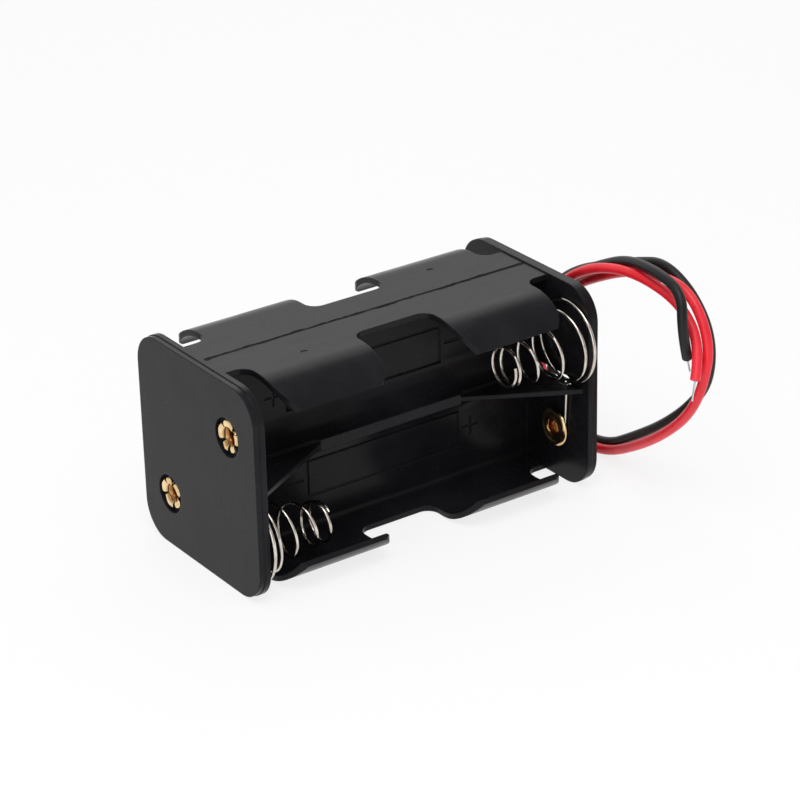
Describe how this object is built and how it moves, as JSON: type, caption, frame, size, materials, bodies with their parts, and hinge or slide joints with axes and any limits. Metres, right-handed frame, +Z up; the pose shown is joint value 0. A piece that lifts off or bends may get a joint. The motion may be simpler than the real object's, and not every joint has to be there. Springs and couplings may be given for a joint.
{
  "type": "cylindrical cell holder",
  "caption": "Open moulded holder for AA cells lying back to back in two layers, with conical contact springs, riveted eyelets and a red and a black lead.",
  "frame": {"origin": "under the middle of the housing, on the surface that the end plates stand on", "axes": "+X along the cells towards the plate that the leads leave by, -Y out of the bays seen in the picture, +Z up"},
  "size_m": [0.0676, 0.0507, 0.0368],
  "materials": {
    "housing": "satin",
    "spring": "bright nickel plate",
    "eyelet": "polished",
    "red_lead": "satin",
    "black_lead": "satin",
    "tinned_strands": "tinned",
    "solder": "smooth"
  },
  "bodies": {
    "housing": {"housing": "housing", "eyelet_front_upper": "eyelet", "eyelet_front_lower": "eyelet", "eyelet_back_upper": "eyelet", "eyelet_back_lower": "eyelet", "red_lead": "red_lead", "black_lead": "black_lead", "red_lead_tip": "tinned_strands", "black_lead_tip": "tinned_strands", "red_lead_core": "tinned_strands", "black_lead_core": "tinned_strands", "red_solder_joint": "solder", "black_solder_joint": "solder"},
    "front_upper_spring": {"spring_front_upper": "spring"},
    "front_lower_spring": {"spring_front_lower": "spring"},
    "back_upper_spring": {"spring_back_upper": "spring"},
    "back_lower_spring": {"spring_back_lower": "spring"}
  },
  "joints": [
    {"name": "front_upper_press", "type": "slide", "parent": "housing", "child": "front_upper_spring", "axis": [1, 0, 0], "range_m": [0, 0.009], "stiffness_N_per_m": 950, "deforming": ["spring_front_upper"]},
    {"name": "front_lower_press", "type": "slide", "parent": "housing", "child": "front_lower_spring", "axis": [-1, 0, 0], "range_m": [0, 0.009], "stiffness_N_per_m": 950, "deforming": ["spring_front_lower"]},
    {"name": "back_upper_press", "type": "slide", "parent": "housing", "child": "back_upper_spring", "axis": [-1, 0, 0], "range_m": [0, 0.009], "stiffness_N_per_m": 950, "deforming": ["spring_back_upper"]},
    {"name": "back_lower_press", "type": "slide", "parent": "housing", "child": "back_lower_spring", "axis": [1, 0, 0], "range_m": [0, 0.009], "stiffness_N_per_m": 950, "deforming": ["spring_back_lower"]}
  ]
}
